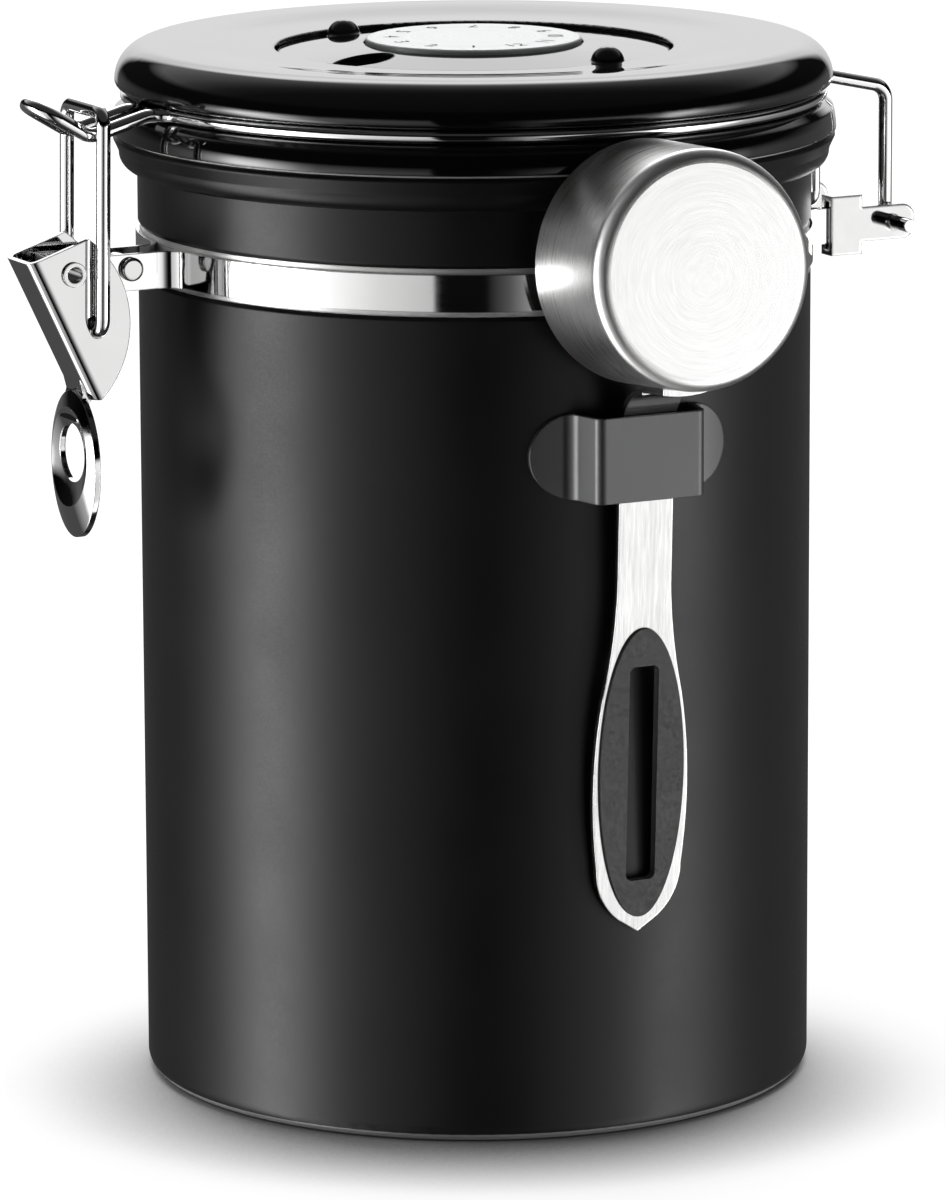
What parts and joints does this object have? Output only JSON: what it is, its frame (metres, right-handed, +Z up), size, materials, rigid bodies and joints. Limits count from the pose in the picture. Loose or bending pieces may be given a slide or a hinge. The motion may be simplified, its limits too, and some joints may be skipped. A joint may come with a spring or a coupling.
{
  "type": "coffee canister",
  "caption": "Round steel coffee canister with a bail lid, date dial, one-way valve, over-centre latch and a scoop in a side holder.",
  "frame": {"origin": "middle of the canister's base, on the surface that it stands on", "axes": "+Z up along the canister's axis, -Y towards the scoop, -X towards the latch, +X towards the hinge"},
  "size_m": [0.1702, 0.1535, 0.1876],
  "materials": {
    "canister_coat": "matte black powder coat on steel",
    "holder_coat": "matte black powder coat on sheet steel",
    "chrome_steel": "bright plated sheet steel",
    "chrome_wire": "bright plated steel wire",
    "lid_gloss": "gloss black moulding",
    "ring_gloss": "gloss black moulding",
    "seal_silicone": "pale translucent silicone",
    "liner_plastic": "satin black moulding",
    "valve_plastic": "natural white moulding",
    "filter_felt": "white filter felt",
    "valve_rubber": "soft dark rubber",
    "scale_print": "thin black printed disc",
    "dial_silver": "silver painted, satin",
    "scoop_steel": "brushed stainless steel",
    "grip_rubber": "matte black rubber"
  },
  "bodies": {
    "canister": {"canister_body": "canister_coat", "strap_band": "chrome_steel", "strap_rivet": "chrome_steel", "lever_rivet": "chrome_steel", "hinge_ear_front": "chrome_steel", "hinge_ear_rear": "chrome_steel", "scoop_holder": "holder_coat"},
    "lid": {"bail_wire": "chrome_wire", "lid_shell": "lid_gloss", "lid_gasket": "seal_silicone", "lid_liner": "liner_plastic", "valve_body": "valve_plastic", "valve_filter": "filter_felt", "valve_cap": "valve_plastic", "day_scale": "scale_print"},
    "valve_disc": {"valve_disc": "valve_rubber"},
    "day_ring": {"day_ring": "ring_gloss"},
    "month_dial": {"month_dial": "dial_silver", "dial_retainer": "valve_plastic"},
    "latch_lever": {"latch_lever": "chrome_steel"},
    "latch_link": {"latch_link": "chrome_wire"},
    "scoop": {"scoop_cup": "scoop_steel", "scoop_handle": "scoop_steel", "scoop_grip": "grip_rubber"}
  },
  "joints": [
    {"name": "lid_hinge", "type": "hinge", "parent": "canister", "child": "lid", "pos_m": [0.077, 0, 0.1502], "axis": [0, 1, 0], "range_deg": [0, 220]},
    {"name": "latch_lever_pivot", "type": "hinge", "parent": "canister", "child": "latch_lever", "pos_m": [-0.0805, 0, 0.1508], "axis": [0, 1, 0], "range_deg": [0, 125]},
    {"name": "latch_link_pivot", "type": "hinge", "parent": "latch_lever", "child": "latch_link", "pos_m": [-0.0762, 0, 0.14065], "axis": [0, 1, 0], "range_deg": [-100, 0]},
    {"name": "day_ring_turn", "type": "hinge", "parent": "lid", "child": "day_ring", "pos_m": [0, 0, 0.184], "axis": [0, 0, 1], "continuous": true},
    {"name": "month_dial_turn", "type": "hinge", "parent": "lid", "child": "month_dial", "pos_m": [0, 0, 0.184], "axis": [0, 0, 1], "continuous": true},
    {"name": "scoop_lift", "type": "slide", "parent": "canister", "child": "scoop", "axis": [0, -0.0416, 0.9991], "range_m": [0, 0.092]},
    {"name": "valve_lift", "type": "slide", "parent": "lid", "child": "valve_disc", "axis": [0, 0, 1], "range_m": [0, 0.0006], "stiffness_N_per_m": 5}
  ],
  "couplings": [
    {"joint": "latch_link_pivot", "follows": "latch_lever_pivot", "ratio": -0.75}
  ]
}
